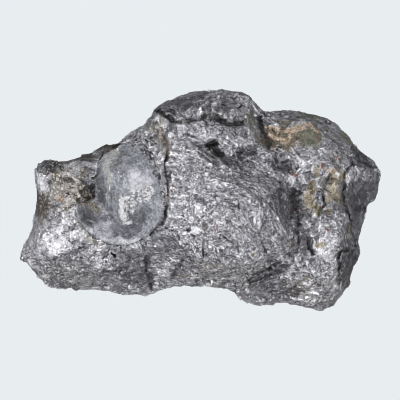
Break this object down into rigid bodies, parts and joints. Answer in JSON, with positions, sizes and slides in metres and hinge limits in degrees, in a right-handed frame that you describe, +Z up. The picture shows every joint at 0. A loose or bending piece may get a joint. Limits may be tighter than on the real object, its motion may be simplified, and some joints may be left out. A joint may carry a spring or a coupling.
{
  "type": "mineral specimen",
  "caption": "Broken lump of massive skutterudite ore, silvery grey and metallic, with a lens of glassy bluish quartz set in one end; it rests on its flattest side.",
  "frame": {"origin": "on the flat sole that the lump rests on, below the middle of its bounding box", "axes": "+X along the lump's length, towards the end away from the quartz; +Z up, away from the sole; the side with the quartz and the domed middle faces +Z"},
  "size_m": [0.0902, 0.0552, 0.0377],
  "materials": {
    "ore": null,
    "quartz": "glassy to milky bluish-grey quartz"
  },
  "bodies": {
    "root": {"skutterudite_ore": "ore", "quartz_lens": "quartz"}
  },
  "joints": []
}
